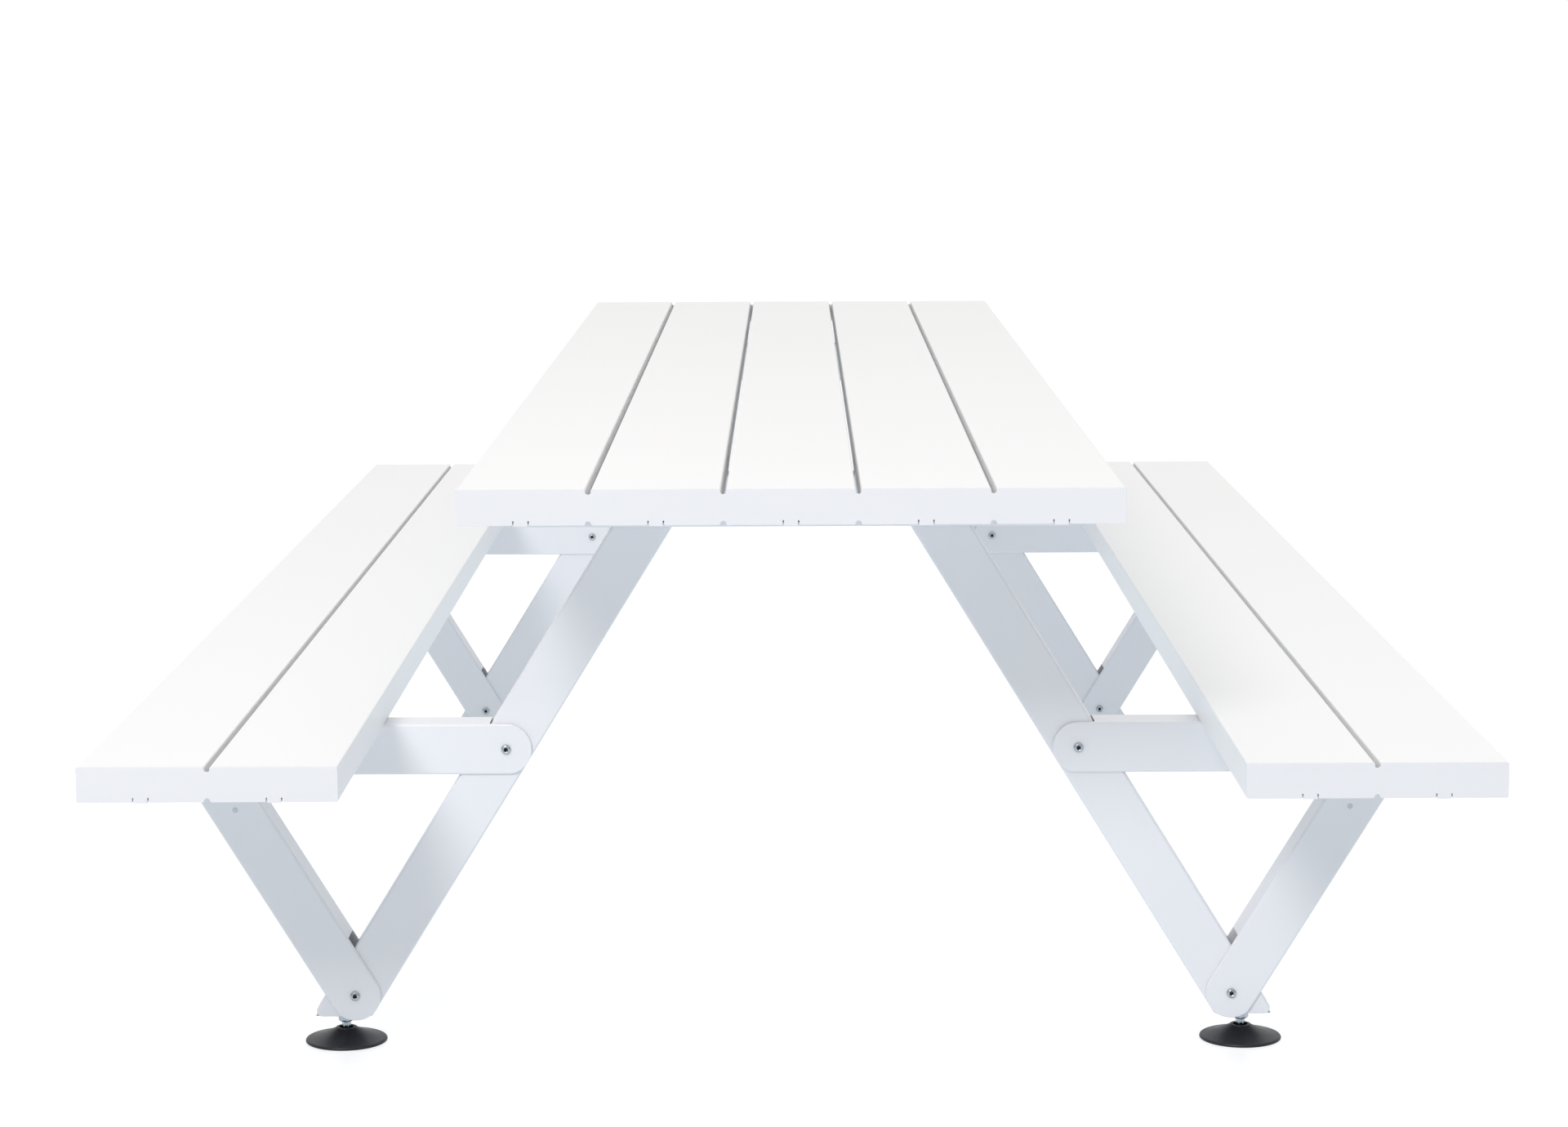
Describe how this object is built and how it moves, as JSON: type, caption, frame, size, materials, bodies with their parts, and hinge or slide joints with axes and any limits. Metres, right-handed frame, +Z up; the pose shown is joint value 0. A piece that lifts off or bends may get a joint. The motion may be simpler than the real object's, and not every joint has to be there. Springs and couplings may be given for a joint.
{
  "type": "picnic table",
  "caption": "Picnic table with a slatted top and two attached plank benches on tube frames with pinned legs, arms and struts, standing on levelling feet.",
  "frame": {"origin": "on the ground under the middle of the table", "axes": "+Z up, Y along the planks with the front end at -Y, X across the table with the right-hand bench at +X"},
  "size_m": [1.552, 2.87, 0.739],
  "materials": {
    "plank_coat": "white powder coat on extruded aluminium, fine satin texture",
    "cap_plastic": "moulded white plastic, fine matt grain",
    "frame_coat": "white powder coat on aluminium tube, satin",
    "cast_aluminium": "cast, tumbled",
    "zinc_steel": "bright zinc plate on steel",
    "insert_plastic": "moulded grey glass-filled plastic",
    "black_pad": "moulded black plastic, matt"
  },
  "bodies": {
    "frame": {"table_plank_1": "plank_coat", "table_plank_2": "plank_coat", "table_plank_3": "plank_coat", "table_plank_4": "plank_coat", "table_plank_5": "plank_coat", "left_bench_plank_inner": "plank_coat", "left_bench_plank_outer": "plank_coat", "right_bench_plank_inner": "plank_coat", "right_bench_plank_outer": "plank_coat", "table_cap_front": "cap_plastic", "table_cap_rear": "cap_plastic", "left_bench_cap_front": "cap_plastic", "left_bench_cap_rear": "cap_plastic", "right_bench_cap_front": "cap_plastic", "right_bench_cap_rear": "cap_plastic", "front_crossbar": "frame_coat", "rear_crossbar": "frame_coat", "crossbar_plugs": "cap_plastic", "front_left_leg": "frame_coat", "front_right_leg": "frame_coat", "rear_left_leg": "frame_coat", "rear_right_leg": "frame_coat", "front_left_arm": "frame_coat", "front_right_arm": "frame_coat", "rear_left_arm": "frame_coat", "rear_right_arm": "frame_coat", "arm_plugs": "cap_plastic", "front_left_strut": "frame_coat", "front_right_strut": "frame_coat", "rear_left_strut": "frame_coat", "rear_right_strut": "frame_coat", "front_left_strut_head": "cast_aluminium", "front_right_strut_head": "cast_aluminium", "rear_left_strut_head": "cast_aluminium", "rear_right_strut_head": "cast_aluminium", "strut_head_pins": "zinc_steel", "front_left_foot_insert": "insert_plastic", "front_right_foot_insert": "insert_plastic", "rear_left_foot_insert": "insert_plastic", "rear_right_foot_insert": "insert_plastic", "foot_bushes": "zinc_steel", "foot_lock_nuts": "zinc_steel", "crossbar_bolts": "zinc_steel", "arm_bolts": "zinc_steel", "foot_bolts": "zinc_steel", "strut_bolts": "zinc_steel", "lock_nuts": "zinc_steel", "bolt_sleeves": "zinc_steel", "plank_screws": "zinc_steel", "slot_nuts": "zinc_steel"},
    "front_left_screw": {"front_left_stud": "zinc_steel"},
    "front_left_foot": {"front_left_pad": "black_pad"},
    "front_right_screw": {"front_right_stud": "zinc_steel"},
    "front_right_foot": {"front_right_pad": "black_pad"},
    "rear_left_screw": {"rear_left_stud": "zinc_steel"},
    "rear_left_foot": {"rear_left_pad": "black_pad"},
    "rear_right_screw": {"rear_right_stud": "zinc_steel"},
    "rear_right_foot": {"rear_right_pad": "black_pad"}
  },
  "joints": [
    {"name": "front_left_height", "type": "slide", "parent": "frame", "child": "front_left_screw", "axis": [0, 0, -1], "range_m": [0, 0.02]},
    {"name": "front_left_tilt", "type": "hinge", "parent": "front_left_screw", "child": "front_left_foot", "pos_m": [-0.549, -0.957, 0.00875], "axis": [0, 1, 0], "range_deg": [-8, 8]},
    {"name": "front_right_height", "type": "slide", "parent": "frame", "child": "front_right_screw", "axis": [0, 0, -1], "range_m": [0, 0.02]},
    {"name": "front_right_tilt", "type": "hinge", "parent": "front_right_screw", "child": "front_right_foot", "pos_m": [0.549, -0.957, 0.00875], "axis": [0, 1, 0], "range_deg": [-8, 8]},
    {"name": "rear_left_height", "type": "slide", "parent": "frame", "child": "rear_left_screw", "axis": [0, 0, -1], "range_m": [0, 0.02]},
    {"name": "rear_left_tilt", "type": "hinge", "parent": "rear_left_screw", "child": "rear_left_foot", "pos_m": [-0.549, 0.957, 0.00875], "axis": [0, 1, 0], "range_deg": [-8, 8]},
    {"name": "rear_right_height", "type": "slide", "parent": "frame", "child": "rear_right_screw", "axis": [0, 0, -1], "range_m": [0, 0.02]},
    {"name": "rear_right_tilt", "type": "hinge", "parent": "rear_right_screw", "child": "rear_right_foot", "pos_m": [0.549, 0.957, 0.00875], "axis": [0, 1, 0], "range_deg": [-8, 8]}
  ]
}
